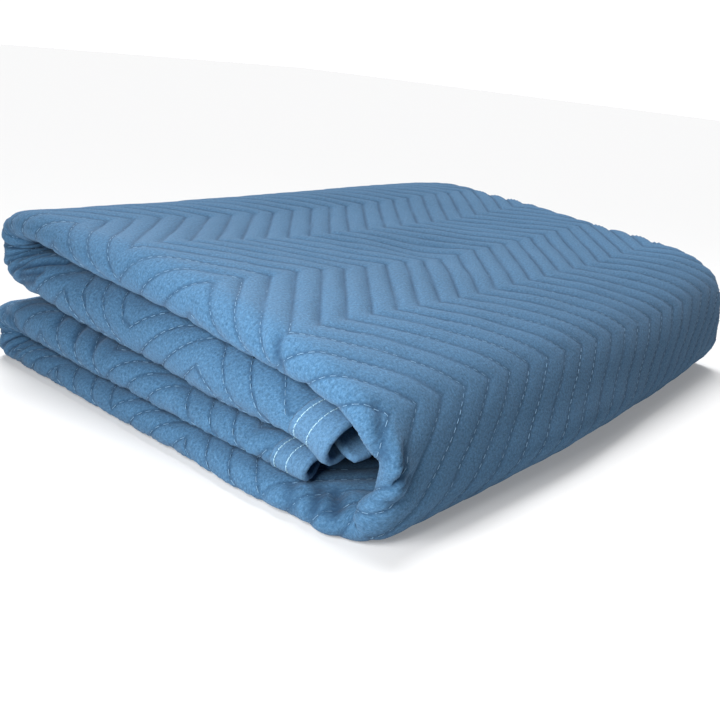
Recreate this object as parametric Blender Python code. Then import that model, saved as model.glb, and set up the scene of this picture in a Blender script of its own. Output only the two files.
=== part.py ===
"""Folded moving blanket: a quilted panel with a sewn edge binding.

The blanket lies folded in thirds across its width, which makes a strip three plies
thick. The strip is then folded with both ends to the middle and once in half.

Axes: +X runs along the folded strip, from the two left bends to the wrap bend.
+Y runs across it, from the rounded front folds to the back folds. +Z is up.
Lengths are millimetres here and metres in the scene.
"""
import math

import bpy
import numpy as np

MM = 0.001

# ---- cloth -------------------------------------------------------------------
PLY = 5.5                  # thickness of the quilted cloth
BINDING_CLOTH = 0.75       # thickness of the binding strip
BINDING_GAP = 0.5          # clearance between the binding and the quilted cloth
BINDING_WIDTH = 32.0       # reach of the binding on each side of the cloth

# ---- flat outline: s along the strip, c across the width ----------------------
S_UPPER_HEM = -688.0       # hem that ends the upper inner layer
S_LOWER_HEM = 1338.0       # hem that ends the lower inner layer
C_TUCKED_HEM = -905.0      # hem tucked between the other two plies
C_INNER_HEM = 985.0        # hem of the inner ply, near the back folds
HEM_SKEW = 8.0             # the upper inner hem leans back by this from ply to ply

# ---- fold in thirds -----------------------------------------------------------
FRONT_TIP = -60.0          # middle of the cloth at the foremost point
# Columns: s, foremost point there
FRONT_TIPS = (
    (-688.0, -60.0),
    (180.0, -60.0),
    (270.0, -57.0),
    (340.0, -51.0),
    (385.0, -51.0),
    (430.0, -62.0),
    (480.0, -67.0),
    (600.0, -67.0),
    (820.0, -66.0),
    (960.0, -62.0),
    (1338.0, -60.0),
)
BACK_TIP = 588.0           # middle of the cloth at the rearmost point
Y_REFERENCE = 300.0        # place on the outer ply where c is zero
FRONT_BLEND = (-40.0, 190.0)
BACK_BLEND = (350.0, 575.0)

# ---- fold along the strip -----------------------------------------------------
# One row per station of the strip, from the upper inner hem to the lower inner hem.
# x: place along +X. z, t: height of the strip's middle and thickness of its three
# plies together at the front folds, halfway back and at the back folds.
# Columns: x, z_front, t_front, z_mid, t_mid, z_back, t_back
STATIONS = (
    (470.0, 65.0, 24.0, 64.0, 23.5, 66.0, 26.5),
    (425.0, 68.0, 28.5, 66.0, 26.5, 69.5, 30.0),
    (370.0, 73.0, 39.5, 71.0, 36.0, 74.0, 37.0),
    (290.0, 74.75, 47.0, 72.0, 42.0, 75.0, 43.0),
    (190.0, 82.0, 48.5, 79.0, 44.0, 81.0, 44.0),
    (100.0, 88.5, 52.5, 85.0, 47.0, 85.5, 47.0),
    (60.0, 92.0, 47.0, 90.0, 44.0, 90.0, 44.0),
    (35.0, 93.5, 44.5, 92.0, 42.0, 92.0, 42.0),
    (15.0, 93.5, 34.0, 92.5, 32.5, 92.0, 31.5),
    (0.0, 95.0, 24.5, 94.5, 24.0, 93.8, 23.5),
    (-11.0, 99.6, 23.0, 99.2, 23.0, 98.6, 22.7),
    (-16.0, 110.5, 22.5, 110.5, 22.5, 110.5, 22.5),
    (-11.5, 121.3, 22.5, 121.3, 22.5, 121.6, 22.5),
    (-1.5, 126.6, 23.0, 126.2, 23.0, 126.4, 23.0),
    (22.0, 133.8, 24.0, 131.5, 24.0, 131.0, 24.0),
    (50.0, 136.5, 27.0, 133.5, 27.0, 133.5, 27.0),
    (100.0, 132.75, 31.5, 126.5, 30.0, 130.5, 32.0),
    (190.0, 129.5, 39.5, 120.5, 33.0, 126.0, 33.5),
    (285.0, 120.5, 37.5, 113.0, 33.0, 118.5, 33.0),
    (365.0, 113.5, 31.5, 108.5, 30.0, 115.0, 31.5),
    (412.0, 105.0, 26.0, 102.0, 25.5, 110.0, 27.5),
    (441.0, 92.5, 23.0, 90.5, 23.0, 96.0, 24.0),
    (456.0, 71.0, 22.5, 70.0, 22.5, 72.0, 22.5),
    (460.5, 48.0, 22.5, 48.0, 22.5, 48.0, 22.5),
    (462.0, 27.0, 22.5, 27.0, 22.5, 27.0, 22.5),
    (457.5, 15.8, 22.5, 15.8, 22.5, 15.8, 22.5),
    (447.5, 11.5, 22.5, 11.5, 22.5, 11.5, 22.5),
    (425.0, 11.25, 22.5, 11.25, 22.5, 11.25, 22.5),
    (375.0, 11.25, 22.5, 11.25, 22.5, 11.25, 22.5),
    (150.0, 11.25, 22.5, 11.25, 22.5, 11.25, 22.5),
    (25.0, 11.25, 22.5, 11.25, 22.5, 11.25, 22.5),
    (0.0, 11.25, 22.5, 11.25, 22.5, 11.25, 22.5),
    (-16.0, 11.3, 22.5, 11.3, 22.5, 11.3, 22.5),
    (-27.0, 15.5, 22.5, 15.5, 22.5, 15.5, 22.5),
    (-31.5, 26.0, 22.5, 26.0, 22.5, 26.0, 22.5),
    (-27.0, 36.5, 22.5, 36.5, 22.5, 36.5, 22.5),
    (-15.0, 41.3, 23.0, 41.3, 23.0, 41.3, 23.0),
    (5.0, 43.5, 28.0, 43.0, 28.0, 43.0, 28.0),
    (30.0, 44.75, 35.0, 44.0, 34.0, 44.5, 34.0),
    (60.0, 44.75, 37.5, 44.0, 36.0, 44.5, 36.5),
    (110.0, 41.5, 32.0, 41.0, 31.5, 42.0, 32.0),
    (190.0, 39.5, 28.5, 39.0, 27.5, 40.0, 29.0),
    (290.0, 37.0, 22.7, 37.0, 22.7, 37.5, 24.0),
    (370.0, 36.9, 22.5, 36.9, 22.5, 37.2, 23.0),
    (440.0, 36.9, 22.5, 36.9, 22.5, 37.2, 23.0),
)
STATION_REFERENCE = 17     # row of the table where s is zero, on the outer ply

# Where the folded cloth gives: a soft push on everything near a point.
# Columns: x, y, z, reach along x, y and z, push along x, y and z
PUSHES = (
    # the front of the upper left bend is as thick as the strip that runs into it
    (12.0, -50.0, 110.0, 36.0, 60.0, 17.0, 26.0, 0.0, 0.0),
    # the bend as a whole, and its underside, sit back at the front
    (-40.0, -50.0, 108.0, 46.0, 120.0, 40.0, 11.0, 0.0, 0.0),
    (-27.0, -45.0, 88.0, 30.0, 90.0, 20.0, 5.0, 0.0, 0.0),
    # the front of the lower left bend, and its rounded underside
    (0.0, -50.0, 26.0, 38.0, 60.0, 15.0, 22.0, 0.0, 0.0),
    (-46.0, -50.0, 20.0, 60.0, 120.0, 32.0, 22.0, 0.0, 0.0),
    # the belly of the right end
    (462.0, 190.0, 30.0, 40.0, 150.0, 24.0, 12.0, 0.0, 0.0),
    # the rear part of the upper left bend stands a little higher
    (20.0, 450.0, 132.0, 70.0, 160.0, 30.0, 0.0, 0.0, 3.0),
)

# ---- facets -------------------------------------------------------------------
# Places of the cross rows along the strip: one row of the table becomes a run of
# (from s, to s, number of steps).
S_RUNS = (
    (-688.0, -656.0, 1),
    (-656.0, -295.0, 4),
    (-295.0, -170.0, 10),
    (-170.0, 210.0, 5),
    (210.0, 300.0, 4),
    (300.0, 400.0, 7),
    (400.0, 810.0, 4),
    (810.0, 930.0, 10),
    (930.0, 1306.0, 5),
    (1306.0, 1338.0, 1),
)
TUCKED_STEPS = (0.0, 0.055, 0.26, 0.48, 0.7, 0.88, 1.0)
INNER_STEPS = (0.0, 0.1, 0.3, 0.52, 0.74, 0.945, 1.0)
OUTER_STEPS = (0.0, 0.06, 0.2, 0.36, 0.54, 0.72, 0.87, 0.96, 1.0)
BACK_FOLD_STEPS = 6
FRONT_FOLD_STEPS = 8

COLOURS = {
    "quilted_panel": (0.13, 0.27, 0.44),
    "edge_binding": (0.15, 0.3, 0.48),
}


def ease(value, start, end):
    """Smooth step from 0 at start to 1 at end."""
    u = np.clip((np.asarray(value, float) - start) / (end - start), 0.0, 1.0)
    return u * u * (3.0 - 2.0 * u)


def curve_through(knots, values, at):
    """Smooth curve through the values, with each slope taken from its neighbours."""
    knots = np.asarray(knots, float)
    values = np.asarray(values, float)
    steps = np.diff(knots)
    slopes = np.diff(values) / steps
    tangent = np.empty_like(values)
    tangent[0] = slopes[0]
    tangent[-1] = slopes[-1]
    before = steps[:-1]
    after = steps[1:]
    tangent[1:-1] = (slopes[:-1] * after + slopes[1:] * before) / (before + after)
    index = np.clip(np.searchsorted(knots, at, side="right") - 1, 0, len(steps) - 1)
    width = steps[index]
    u = (at - knots[index]) / width
    h00 = (1.0 + 2.0 * u) * (1.0 - u) ** 2
    h10 = u * (1.0 - u) ** 2
    h01 = u * u * (3.0 - 2.0 * u)
    h11 = u * u * (u - 1.0)
    return (h00 * values[index] + h10 * width * tangent[index]
            + h01 * values[index + 1] + h11 * width * tangent[index + 1])


class Strip:
    """Middle line of the folded strip, tabled over s and y."""

    S_STEP = 4.0
    Y_STEP = 12.0
    DENSE = 1600

    def __init__(self):
        self.s = np.arange(S_UPPER_HEM - 40.0, S_LOWER_HEM + 40.1, self.S_STEP)
        self.y = np.arange(FRONT_TIP - 30.0, BACK_TIP + 30.1, self.Y_STEP)
        self.table = np.stack([self.line_at(y) for y in self.y])

    def line_at(self, y):
        """Rows of x, z, normal x, normal z and half pitch along s at one y."""
        rows = np.asarray(STATIONS)
        front = 1.0 - ease(y, *FRONT_BLEND)
        back = ease(y, *BACK_BLEND)
        x = rows[:, 0]
        z = rows[:, 3] + front * (rows[:, 1] - rows[:, 3]) + back * (rows[:, 5] - rows[:, 3])
        t = rows[:, 4] + front * (rows[:, 2] - rows[:, 4]) + back * (rows[:, 6] - rows[:, 4])
        chord = np.hypot(np.diff(x), np.diff(z))
        knots = np.concatenate([[0.0], np.cumsum(chord)])
        at = np.linspace(0.0, knots[-1], self.DENSE)
        px = curve_through(knots, x, at)
        pz = curve_through(knots, z, at)
        pitch = (curve_through(knots, t, at) - PLY) / 2.0
        tx = np.gradient(px)
        tz = np.gradient(pz)
        length = np.hypot(tx, tz)
        nx = -tz / length
        nz = tx / length
        outer_x = px + nx * pitch
        outer_z = pz + nz * pitch
        run = np.concatenate([[0.0], np.cumsum(np.hypot(np.diff(outer_x), np.diff(outer_z)))])
        run -= np.interp(knots[STATION_REFERENCE], at, run)
        return np.stack([np.interp(self.s, run, column) for column in (px, pz, nx, nz, pitch)], 1)

    def at(self, s, y):
        """Interpolated x, z, normal x, normal z and half pitch."""
        u = np.clip((s - self.s[0]) / self.S_STEP, 0.0, len(self.s) - 1.001)
        v = np.clip((y - self.y[0]) / self.Y_STEP, 0.0, len(self.y) - 1.001)
        i = u.astype(int)
        j = v.astype(int)
        fu = (u - i)[..., None]
        fv = (v - j)[..., None]
        near = self.table[j, i] * (1.0 - fu) + self.table[j, i + 1] * fu
        far = self.table[j + 1, i] * (1.0 - fu) + self.table[j + 1, i + 1] * fu
        return near * (1.0 - fv) + far * fv


def front_tip(s):
    """Foremost point of the front folds, a little uneven along the strip."""
    place, reach = np.asarray(FRONT_TIPS).T
    return np.interp(s, place, reach) + 1.5 * np.sin(s / 97.0 + 0.6) + 1.0 * np.sin(s / 41.0)


def back_tip(s):
    """Rearmost point of the back folds, a little uneven along the strip."""
    return BACK_TIP + 4.0 * np.sin(s / 150.0 + 2.0) + 2.0 * np.sin(s / 57.0)


def half_ellipse(a, b):
    """Length of half an ellipse with semi-axes a and b."""
    h = ((a - b) / (a + b)) ** 2
    return math.pi * (a + b) * (1.0 + 3.0 * h / (10.0 + np.sqrt(4.0 - 3.0 * h))) / 2.0


class Blanket:
    """Maps flat coordinates of the cloth to the folded shape."""

    def __init__(self):
        self.strip = Strip()

    def folds(self, s):
        """Sizes of the two lengthwise folds at s."""
        front_pitch = self.strip.at(s, np.full_like(s, FRONT_TIP + 20.0))[..., 4]
        back_pitch = self.strip.at(s, np.full_like(s, BACK_TIP - 15.0))[..., 4]
        front_depth = np.clip(6.5 + 0.75 * front_pitch, 12.0, 22.0)
        back_depth = np.clip(back_pitch / 2.0, 4.0, 10.0)
        front = front_tip(s) + front_depth
        back = back_tip(s) - back_depth
        tucked = back - (-C_TUCKED_HEM - (back - Y_REFERENCE)
                         - half_ellipse(back_depth, back_pitch / 2.0))
        inner = front + (C_INNER_HEM - (Y_REFERENCE - front)
                         - half_ellipse(front_depth, front_pitch))
        return front, front_depth, back, back_depth, tucked, inner

    def section(self, s, hem_row):
        """Rows of (y, ply) at each s: the ply is 1 outer, 0 tucked and -1 inner."""
        front, front_depth, back, back_depth, tucked, inner = self.folds(s)
        rows = []
        for k, u in enumerate(TUCKED_STEPS[:-1]):
            y = tucked + (back - tucked) * u
            if k == 1:
                y = tucked + hem_row
            rows.append((y, np.zeros_like(s)))
        for k in range(BACK_FOLD_STEPS + 1):
            angle = math.pi * (k / BACK_FOLD_STEPS - 0.5)
            rows.append((back + back_depth * math.cos(angle),
                         np.full_like(s, 0.5 + 0.5 * math.sin(angle))))
        for u in OUTER_STEPS[1:-1]:
            rows.append((back + (front - back) * u, np.ones_like(s)))
        for k in range(FRONT_FOLD_STEPS + 1):
            angle = math.pi * (0.5 - k / FRONT_FOLD_STEPS)
            rows.append((front - front_depth * math.cos(angle),
                         np.full_like(s, math.sin(angle))))
        for k, u in enumerate(INNER_STEPS[1:]):
            y = front + (inner - front) * u
            if k == len(INNER_STEPS) - 3:
                y = inner - hem_row
            rows.append((y, -np.ones_like(s)))
        return rows

    def place(self, s, y, ply):
        """Points on the middle of the cloth."""
        lean = 1.0 - ease(s, S_UPPER_HEM + BINDING_WIDTH, S_UPPER_HEM + 190.0)
        moved = s + HEM_SKEW * ply * lean
        x, z, nx, nz, pitch = np.moveaxis(self.strip.at(moved, y), -1, 0)
        offset = ply * pitch
        return self.give(np.stack([x + nx * offset, y, z + nz * offset], -1))

    @staticmethod
    def give(points):
        """Points moved by the soft pushes."""
        moved = points.copy()
        for row in PUSHES:
            centre, reach, push = np.asarray(row).reshape(3, 3)
            near = np.exp(-(((points - centre) / reach) ** 2).sum(-1, keepdims=True))
            moved += push * near
        return moved


def unit(vectors):
    """Vectors scaled to length one."""
    return vectors / np.maximum(np.linalg.norm(vectors, axis=-1, keepdims=True), 1e-9)


def grid_normals(points):
    """Normals of a grid of points, from the directions to its neighbours."""
    along = np.empty_like(points)
    across = np.empty_like(points)
    steps = unit(np.diff(points, axis=0))
    along[0] = steps[0]
    along[-1] = steps[-1]
    along[1:-1] = unit(steps[:-1] + steps[1:])
    steps = unit(np.diff(points, axis=1))
    across[:, 0] = steps[:, 0]
    across[:, -1] = steps[:, -1]
    across[:, 1:-1] = unit(steps[:, :-1] + steps[:, 1:])
    return unit(np.cross(across, along))


def strip_rows():
    """Values of s for the cross rows of the mesh."""
    values = [S_RUNS[0][0]]
    for start, end, count in S_RUNS:
        values.extend(start + (end - start) * (k + 1) / count for k in range(count))
    return np.asarray(values)


def add_object(name, vertices, faces):
    """Links a closed mesh of quads as a scene object with its own material."""
    mesh = bpy.data.meshes.new(name)
    mesh.from_pydata([tuple(v) for v in np.asarray(vertices) * MM], [], faces)
    mesh.validate()
    mesh.update()
    item = bpy.data.objects.new(name, mesh)
    bpy.context.scene.collection.objects.link(item)
    material = bpy.data.materials.new(name)
    material.use_nodes = True
    shader = material.node_tree.nodes["Principled BSDF"]
    shader.inputs["Base Color"].default_value = (*COLOURS[name], 1.0)
    shader.inputs["Roughness"].default_value = 0.95
    mesh.materials.append(material)
    return item


def border_ring(rows, columns):
    """Places of the grid's border in order round it."""
    ring = [(0, j) for j in range(columns)]
    ring += [(i, columns - 1) for i in range(1, rows)]
    ring += [(rows - 1, j) for j in range(columns - 2, -1, -1)]
    ring += [(i, 0) for i in range(rows - 2, 0, -1)]
    return ring


def build_panel(points, normals):
    """Solid sheet: both faces of the cloth and the four cut edges."""
    rows, columns = points.shape[:2]
    upper = points + normals * PLY / 2.0
    lower = points - normals * PLY / 2.0
    vertices = np.concatenate([upper.reshape(-1, 3), lower.reshape(-1, 3)])
    vertices[:, 2] = np.maximum(vertices[:, 2], 0.0)
    shift = rows * columns
    # Two corner quads are split the other way, so that the split ends in the corner.
    turned = ((0, columns - 2), (rows - 2, 0))
    faces = []
    for i in range(rows - 1):
        for j in range(columns - 1):
            a = i * columns + j
            quad = [a, a + 1, a + columns + 1, a + columns]
            if (i, j) in turned:
                quad = quad[1:] + quad[:1]
            a, b, c, d = quad
            faces += [(a, b, c), (a, c, d)]
            faces += [(a + shift, c + shift, b + shift), (a + shift, d + shift, c + shift)]
    ring = [i * columns + j for i, j in border_ring(rows, columns)]
    for k, a in enumerate(ring):
        b = ring[(k + 1) % len(ring)]
        faces += [(b, a, a + shift), (b, a + shift, b + shift)]
    return vertices, faces


def build_binding(points, normals):
    """Channel of thin cloth that wraps the whole edge of the panel."""
    rows, columns = points.shape[:2]
    near = PLY / 2.0 + BINDING_GAP
    far = near + BINDING_CLOTH
    # Points of the channel's section: reach beyond the cut edge and height over it.
    profile = ((None, far), (BINDING_GAP + BINDING_CLOTH, far),
               (BINDING_GAP + BINDING_CLOTH, -far), (None, -far),
               (None, -near), (BINDING_GAP, -near), (BINDING_GAP, near), (None, near))
    vertices = []
    loops = []
    shared = {}
    edges = border_ring(rows, columns)
    for edge in edges:
        inside = (min(max(edge[0], 1), rows - 2), min(max(edge[1], 1), columns - 2))
        outward = np.zeros(3)
        if edge[0] != inside[0]:
            outward += unit(points[edge] - points[inside[0], edge[1]])
        if edge[1] != inside[1]:
            outward += unit(points[edge] - points[edge[0], inside[1]])
        loop = []
        for k, (reach, height) in enumerate(profile):
            if reach is None and (inside, k) in shared:
                loop.append(shared[inside, k])
                continue
            loop.append(len(vertices))
            if reach is None:
                shared[inside, k] = loop[-1]
                vertices.append(points[inside] + normals[inside] * height)
            else:
                vertices.append(points[edge] + outward * reach + normals[edge] * height)
        loops.append(loop)
    vertices = np.asarray(vertices)
    vertices[:, 2] = np.maximum(vertices[:, 2], 0.0)
    count = len(profile)
    faces = []
    for i, edge in enumerate(edges):
        after = (i + 1) % len(edges)
        along_end = edge[0] == edges[after][0] and edge[0] in (0, rows - 1)
        for k in range(count):
            m = (k + 1) % count
            a, b = loops[i][k], loops[i][m]
            c, d = loops[after][m], loops[after][k]
            # The seam between the two triangles follows that of the cloth below it.
            from_edge = profile[k][0] is not None
            if k in (3, 5, 7) or (k in (0, 2, 4, 6) and from_edge == along_end):
                pair = [(a, b, c), (a, c, d)]
            else:
                pair = [(a, b, d), (b, c, d)]
            faces += [face for face in pair if len(set(face)) == 3]
    return vertices, faces


def main():
    """Builds the two pieces."""
    for item in list(bpy.data.objects):
        bpy.data.objects.remove(item, do_unlink=True)
    blanket = Blanket()
    s = strip_rows()
    rows = blanket.section(s, BINDING_WIDTH)
    points = np.stack([blanket.place(s, y, ply) for y, ply in rows], 1)
    normals = grid_normals(points)
    pieces = {
        "quilted_panel": build_panel(points, normals),
        "edge_binding": build_binding(points, normals),
    }
    corners = np.concatenate([vertices for vertices, _ in pieces.values()])
    # The origin is the middle of the blanket's footprint, on the ground.
    middle = (corners.min(0) + corners.max(0)) / 2.0
    middle[2] = 0.0
    for name, (vertices, faces) in pieces.items():
        add_object(name, vertices - middle, faces)


main()
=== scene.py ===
"""Folded moving blanket: two quilted felt cloths, a sewn edge binding and its stitching.

The blanket lies folded in thirds across its width and then along its length, with both
ends to the middle and once in half. One flat map serves every piece: s runs along the
blanket and c across it, both in millimetres, and the fold places each flat point in space.
"""
import logging
import math
from dataclasses import dataclass, field
from enum import Enum

import bmesh
import bpy
import numpy as np
from mathutils import Matrix, Vector


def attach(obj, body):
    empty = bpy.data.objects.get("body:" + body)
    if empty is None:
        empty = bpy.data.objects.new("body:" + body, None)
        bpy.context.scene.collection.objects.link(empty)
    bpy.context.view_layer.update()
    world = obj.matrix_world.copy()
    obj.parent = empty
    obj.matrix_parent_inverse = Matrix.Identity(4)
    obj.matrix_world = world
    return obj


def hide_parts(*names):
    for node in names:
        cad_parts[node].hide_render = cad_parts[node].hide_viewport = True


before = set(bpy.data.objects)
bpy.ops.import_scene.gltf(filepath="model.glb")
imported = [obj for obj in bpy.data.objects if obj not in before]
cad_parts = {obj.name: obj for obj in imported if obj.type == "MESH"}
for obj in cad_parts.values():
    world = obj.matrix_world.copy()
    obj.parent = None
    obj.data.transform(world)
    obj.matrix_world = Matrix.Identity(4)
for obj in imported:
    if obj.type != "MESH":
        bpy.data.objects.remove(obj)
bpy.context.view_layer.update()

LOG = logging.getLogger("moving_blanket")
MM = 0.001
LEAST_Z = 0.05  # millimetres over the floor
FLAT_MAP = "flat"
# name of the point attribute that holds the share of painted shade in stitch grooves and creases
PAINTED_SHADE = "groove"
Array = np.ndarray
Span = tuple[float, float]
Triple = tuple[float, float, float]


class Face(Enum):
    """The two faces of the quilted cloth."""

    OUTER = 1.0
    INNER = -1.0


def ease(value: Array, start: float, end: float) -> Array:
    """Smooth step at a value, from 0 at start to 1 at end."""
    u = np.clip((np.asarray(value, float) - start) / (end - start), 0.0, 1.0)
    return u * u * (3.0 - 2.0 * u)


def unit(vectors: Array) -> Array:
    """Scales vectors, with x, y and z on the last axis, to length one."""
    return vectors / np.maximum(np.linalg.norm(vectors, axis=-1, keepdims=True), 1e-9)


def curve_through(knots: Array, values: Array, at: Array) -> Array:
    """Smooth curve through the values, with each slope taken from its neighbours.

    Args:
        knots: increasing places of the values.
        values: values to pass through.
        at: places where the curve is read.

    Returns:
        The curve's height at each place.
    """
    steps = np.diff(knots)
    slopes = np.diff(values) / steps
    tangent = np.empty_like(values)
    tangent[0] = slopes[0]
    tangent[-1] = slopes[-1]
    before = steps[:-1]
    after = steps[1:]
    tangent[1:-1] = (slopes[:-1] * after + slopes[1:] * before) / (before + after)
    index = np.clip(np.searchsorted(knots, at, side="right") - 1, 0, len(steps) - 1)
    width = steps[index]
    u = (at - knots[index]) / width
    rise = u * u * (3.0 - 2.0 * u)
    return ((1.0 - rise) * values[index] + rise * values[index + 1]
            + u * (1.0 - u) ** 2 * width * tangent[index]
            + u * u * (u - 1.0) * width * tangent[index + 1])


def read_table(table: Array, first: Array, second: Array) -> Array:
    """Reads a table between its entries.

    Args:
        table: values on two axes, and any more after them.
        first: places along the first axis, counted in entries.
        second: places along the second axis, counted in entries.

    Returns:
        The value at each place.
    """
    first = np.clip(first, 0.0, table.shape[0] - 1.001)
    second = np.clip(second, 0.0, table.shape[1] - 1.001)
    i = first.astype(int)
    j = second.astype(int)
    deeper = (1,) * (table.ndim - 2)
    past_i = (first - i).reshape(*first.shape, *deeper)
    past_j = (second - j).reshape(*second.shape, *deeper)
    low = table[i, j] * (1.0 - past_j) + table[i, j + 1] * past_j
    high = table[i + 1, j] * (1.0 - past_j) + table[i + 1, j + 1] * past_j
    return low * (1.0 - past_i) + high * past_i


def near(s: Array, c: Array, at_s: float, at_c: float, reach_s: float, reach_c: float) -> Array:
    """How near flat points are to a place, by the reach each way: 1 at it, 0 far from it."""
    return np.exp(-((s - at_s) / reach_s) ** 2 - ((c - at_c) / reach_c) ** 2)


# Columns: height, waves to one of the longest, direction along s and c, shift
RIPPLES = (
    (1.0, 1.0, 0.92, 0.38, 1.0),
    (0.8, 1.37, -0.41, 0.9, 2.3),
    (0.6, 2.11, 0.7, -0.66, 3.1),
    (0.4, 3.23, 0.23, 0.95, 4.7),
)


def waves(s: Array, c: Array, length: float, seed: float) -> Array:
    """Gentle unevenness of cloth, from a few crossing waves.

    Args:
        s: flat places along the blanket.
        c: flat places across it.
        length: wavelength of the longest wave.
        seed: shifts the waves against each other.

    Returns:
        A height between about -1 and 1.
    """
    turn = 2.0 * math.pi / length
    total = 0.0
    for height, number, along, over, shift in RIPPLES:
        total = total + height * np.sin(turn * number * (s * along + c * over) + seed * shift)
    return total / 2.0


@dataclass(frozen=True)
class FlatBlanket:
    """Outline and thickness of the blanket before it is folded, in millimetres."""

    ply: float = 5.5
    upper_hem: float = -688.0
    lower_hem: float = 1338.0
    tucked_hem: float = -905.0
    inner_hem: float = 985.0
    binding_width: float = 32.0

    @property
    def length(self) -> float:
        """Length along s."""
        return self.lower_hem - self.upper_hem

    @property
    def width(self) -> float:
        """Width along c."""
        return self.inner_hem - self.tucked_hem

    def to_edge(self, s: Array, c: Array) -> Array:
        """Distance from flat points to the nearest cut edge.

        Args:
            s: flat places along the blanket.
            c: flat places across it.

        Returns:
            Distances, negative outside the cloth.
        """
        along = np.minimum(s - self.upper_hem, self.lower_hem - s)
        across = np.minimum(c - self.tucked_hem, self.inner_hem - c)
        return np.minimum(along, across)


# One row per station of the folded strip, from the upper inner hem to the lower inner hem.
# Columns: x, z_front, t_front, z_mid, t_mid, z_back, t_back
STATIONS = (
    (470, 65, 24, 64, 23.5, 66, 26.5),
    (425, 68, 28.5, 66, 26.5, 69.5, 30),
    (370, 73, 39.5, 71, 36, 74, 37),
    (290, 74.75, 47, 72, 42, 75, 43),
    (190, 82, 48.5, 79, 44, 81, 44),
    (100, 88.5, 52.5, 85, 47, 85.5, 47),
    (60, 92, 47, 90, 44, 90, 44),
    (35, 93.5, 44.5, 92, 42, 92, 42),
    (15, 93.5, 34, 92.5, 32.5, 92, 31.5),
    (0, 95, 24.5, 94.5, 24, 93.8, 23.5),
    (-11, 99.6, 23, 99.2, 23, 98.6, 22.7),
    (-16, 110.5, 22.5, 110.5, 22.5, 110.5, 22.5),
    (-11.5, 121.3, 22.5, 121.3, 22.5, 121.6, 22.5),
    (-1.5, 126.6, 23, 126.2, 23, 126.4, 23),
    (22, 133.8, 24, 131.5, 24, 131, 24),
    (50, 136.5, 27, 133.5, 27, 133.5, 27),
    (100, 132.75, 31.5, 126.5, 30, 130.5, 32),
    (190, 129.5, 39.5, 120.5, 33, 126, 33.5),
    (285, 120.5, 37.5, 113, 33, 118.5, 33),
    (365, 113.5, 31.5, 108.5, 30, 115, 31.5),
    (412, 105, 26, 102, 25.5, 110, 27.5),
    (441, 92.5, 23, 90.5, 23, 96, 24),
    (456, 71, 22.5, 70, 22.5, 72, 22.5),
    (460.5, 48, 22.5, 48, 22.5, 48, 22.5),
    (462, 27, 22.5, 27, 22.5, 27, 22.5),
    (457.5, 15.8, 22.5, 15.8, 22.5, 15.8, 22.5),
    (447.5, 11.5, 22.5, 11.5, 22.5, 11.5, 22.5),
    (425, 11.25, 22.5, 11.25, 22.5, 11.25, 22.5),
    (375, 11.25, 22.5, 11.25, 22.5, 11.25, 22.5),
    (150, 11.25, 22.5, 11.25, 22.5, 11.25, 22.5),
    (25, 11.25, 22.5, 11.25, 22.5, 11.25, 22.5),
    (0, 11.25, 22.5, 11.25, 22.5, 11.25, 22.5),
    (-16, 11.3, 22.5, 11.3, 22.5, 11.3, 22.5),
    (-27, 15.5, 22.5, 15.5, 22.5, 15.5, 22.5),
    (-31.5, 26, 22.5, 26, 22.5, 26, 22.5),
    (-27, 36.5, 22.5, 36.5, 22.5, 36.5, 22.5),
    (-15, 41.3, 23, 41.3, 23, 41.3, 23),
    (5, 43.5, 28, 43, 28, 43, 28),
    (30, 44.75, 35, 44, 34, 44.5, 34),
    (60, 44.75, 37.5, 44, 36, 44.5, 36.5),
    (110, 41.5, 32, 41, 31.5, 42, 32),
    (190, 39.5, 28.5, 39, 27.5, 40, 29),
    (290, 37, 22.7, 37, 22.7, 37.5, 24),
    (370, 36.9, 22.5, 36.9, 22.5, 37.2, 23),
    (440, 36.9, 22.5, 36.9, 22.5, 37.2, 23),
)

# Columns: s, foremost point of the front folds there
FRONT_TIPS = (
    (-688, -60),
    (180, -60),
    (270, -57),
    (340, -51),
    (385, -51),
    (430, -62),
    (480, -67),
    (600, -67),
    (820, -66),
    (960, -62),
    (1338, -60),
)


# Where the folded cloth gives: a soft push on everything near a point.
# Columns: x, y, z, reach along x, y and z, push along x, y and z
PUSHES = (
    # the front of the upper left bend is as thick as the strip that runs into it
    (12, -50, 110, 36, 60, 17, 26, 0, 0),
    # the bend as a whole, and its underside, sit back at the front
    (-40, -50, 108, 46, 120, 40, 11, 0, 0),
    (-27, -45, 88, 30, 90, 20, 5, 0, 0),
    # the front of the lower left bend, and its rounded underside
    (0, -50, 26, 38, 60, 15, 22, 0, 0),
    (-46, -50, 20, 60, 120, 32, 22, 0, 0),
    # the belly of the right end, and its back corner drawn in
    (462, 190, 30, 40, 150, 24, 12, 0, 0),
    (480, 610, 55, 70, 120, 60, -8, -8, 0),
    (478, 590, 2, 60, 130, 26, -9, -6, 0),
    # both left bends are drawn in a little at the front
    (-60, -30, 112, 60, 110, 45, 6, 0, 0),
    (-70, -30, 24, 60, 110, 42, 7, 0, 0),
    # the rear part of the upper left bend stands a little higher
    (20, 450, 132, 70, 160, 30, 0, 0, 3),
)


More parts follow.
